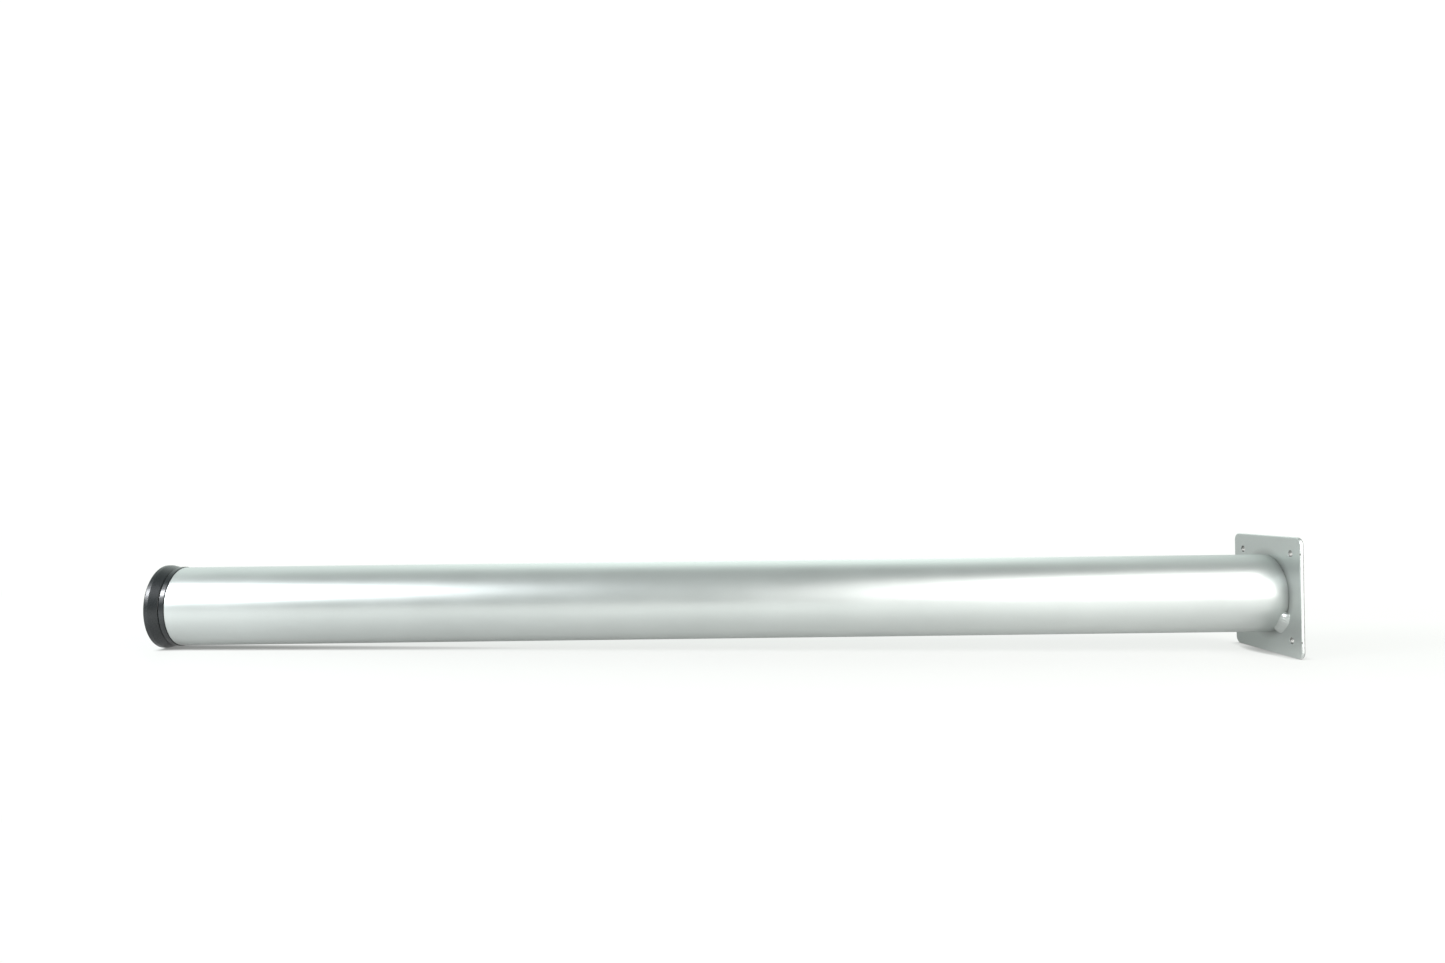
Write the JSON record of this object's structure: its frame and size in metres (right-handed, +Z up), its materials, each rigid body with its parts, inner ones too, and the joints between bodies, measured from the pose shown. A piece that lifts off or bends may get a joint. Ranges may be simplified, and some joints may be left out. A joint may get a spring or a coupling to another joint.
{
  "type": "table leg",
  "caption": "Round steel table leg with a welded square screw-on plate and a black screw-adjustable plastic foot.",
  "frame": {"origin": "centre of the mounting plate's outer face, where the leg meets the table top", "axes": "+X out of the plate's outer face, so the foot points to -X; +Z up, the leg lying down with one pair of plate edges level"},
  "size_m": [0.8599, 0.09, 0.09],
  "materials": {
    "silver_powder_coat": "satin metallic silver powder coat",
    "collar_plastic": "glossy black moulded plastic",
    "foot_plastic": "satin black moulded plastic",
    "zinc_plated_steel": "bright zinc plate",
    "spring_steel": "dark phosphated spring steel"
  },
  "bodies": {
    "leg": {"leg_tube": "silver_powder_coat", "mounting_plate": "silver_powder_coat", "weld_bead_front": "silver_powder_coat", "weld_bead_rear": "silver_powder_coat", "foot_insert": "collar_plastic", "insert_nut": "zinc_plated_steel"},
    "clip": {"stem_clip": "spring_steel"},
    "foot": {"foot_stem": "zinc_plated_steel", "foot_disc": "foot_plastic"}
  },
  "joints": [
    {"name": "foot_extend", "type": "slide", "parent": "leg", "child": "clip", "axis": [-1, 0, 0], "range_m": [0, 0.015]},
    {"name": "foot_turn", "type": "hinge", "parent": "clip", "child": "foot", "pos_m": [-0.8599, 0, 0], "axis": [-1, 0, 0], "range_deg": [0, 3600]}
  ],
  "couplings": [
    {"joint": "foot_extend", "follows": "foot_turn", "m_per_rad": 0.00023873}
  ]
}
